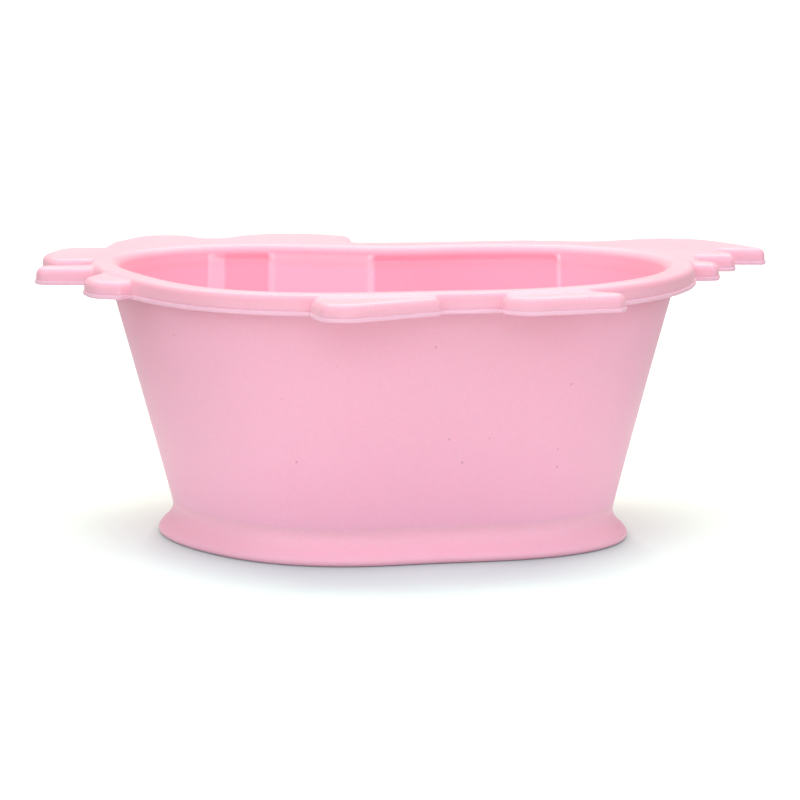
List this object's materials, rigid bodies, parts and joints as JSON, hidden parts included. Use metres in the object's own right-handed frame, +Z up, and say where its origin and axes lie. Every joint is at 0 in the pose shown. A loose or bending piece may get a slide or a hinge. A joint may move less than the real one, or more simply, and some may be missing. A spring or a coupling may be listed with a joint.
{
  "type": "suction bowl",
  "caption": "Deep soft silicone toddler bowl with a rounded kidney outline, a raised rim bead with flat lobes around it and a flared foot that grips the table by suction.",
  "frame": {"origin": "on the table plane, under the middle of the overall outline seen from above", "axes": "+Z up, out of the bowl's mouth; +X along the longer side of the bowl, to the right when the bowl is seen from its front; -Y is the front"},
  "size_m": [0.172, 0.1474, 0.062],
  "materials": {
    "rim_silicone": "satin moulded silicone, pale pink",
    "bowl_silicone": "satin moulded silicone, pale pink",
    "foot_silicone": "satin moulded silicone, pale pink, softer grade"
  },
  "bodies": {
    "foot": {"suction_foot": "foot_silicone"},
    "bowl": {"bowl_shell": "bowl_silicone", "rim_frame": "rim_silicone"}
  },
  "joints": [
    {"name": "suction_press", "type": "slide", "parent": "foot", "child": "bowl", "axis": [0, 0, 1], "range_m": [-0.003, 0], "stiffness_N_per_m": 6000, "deforming": ["suction_foot"]}
  ]
}
